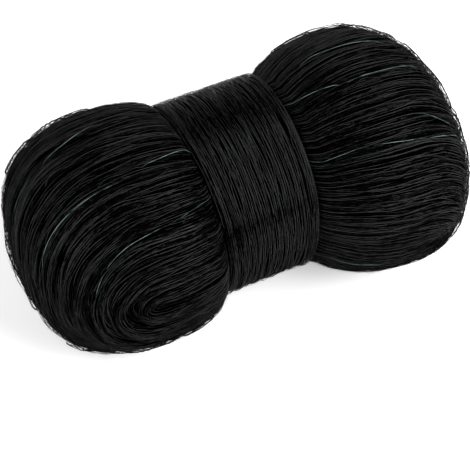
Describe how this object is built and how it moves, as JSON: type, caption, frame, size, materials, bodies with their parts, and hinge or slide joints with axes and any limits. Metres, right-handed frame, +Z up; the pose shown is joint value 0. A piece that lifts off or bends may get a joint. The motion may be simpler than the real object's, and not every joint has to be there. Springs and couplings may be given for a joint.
{
  "type": "bird netting hank",
  "caption": "Fine garden bird net folded to and fro into a hank with two round lobes, bound flat round the waist by its own wound tail.",
  "frame": {"origin": "bottom centre of the bounding box, on the ground plane under the hank", "axes": "+X along the hank's long axis towards the fuller, drooping lobe, +Z up, the hank lying on its lobes"},
  "size_m": [0.3402, 0.2006, 0.1842],
  "materials": {
    "net": "near-black fine plastic twine, slightly glossy, with a few pale green marker threads",
    "band": "near-black fine plastic twine wound tight, with a soft grey sheen"
  },
  "bodies": {
    "root": {"net_hank": "net", "waist_band": "band"}
  },
  "joints": []
}
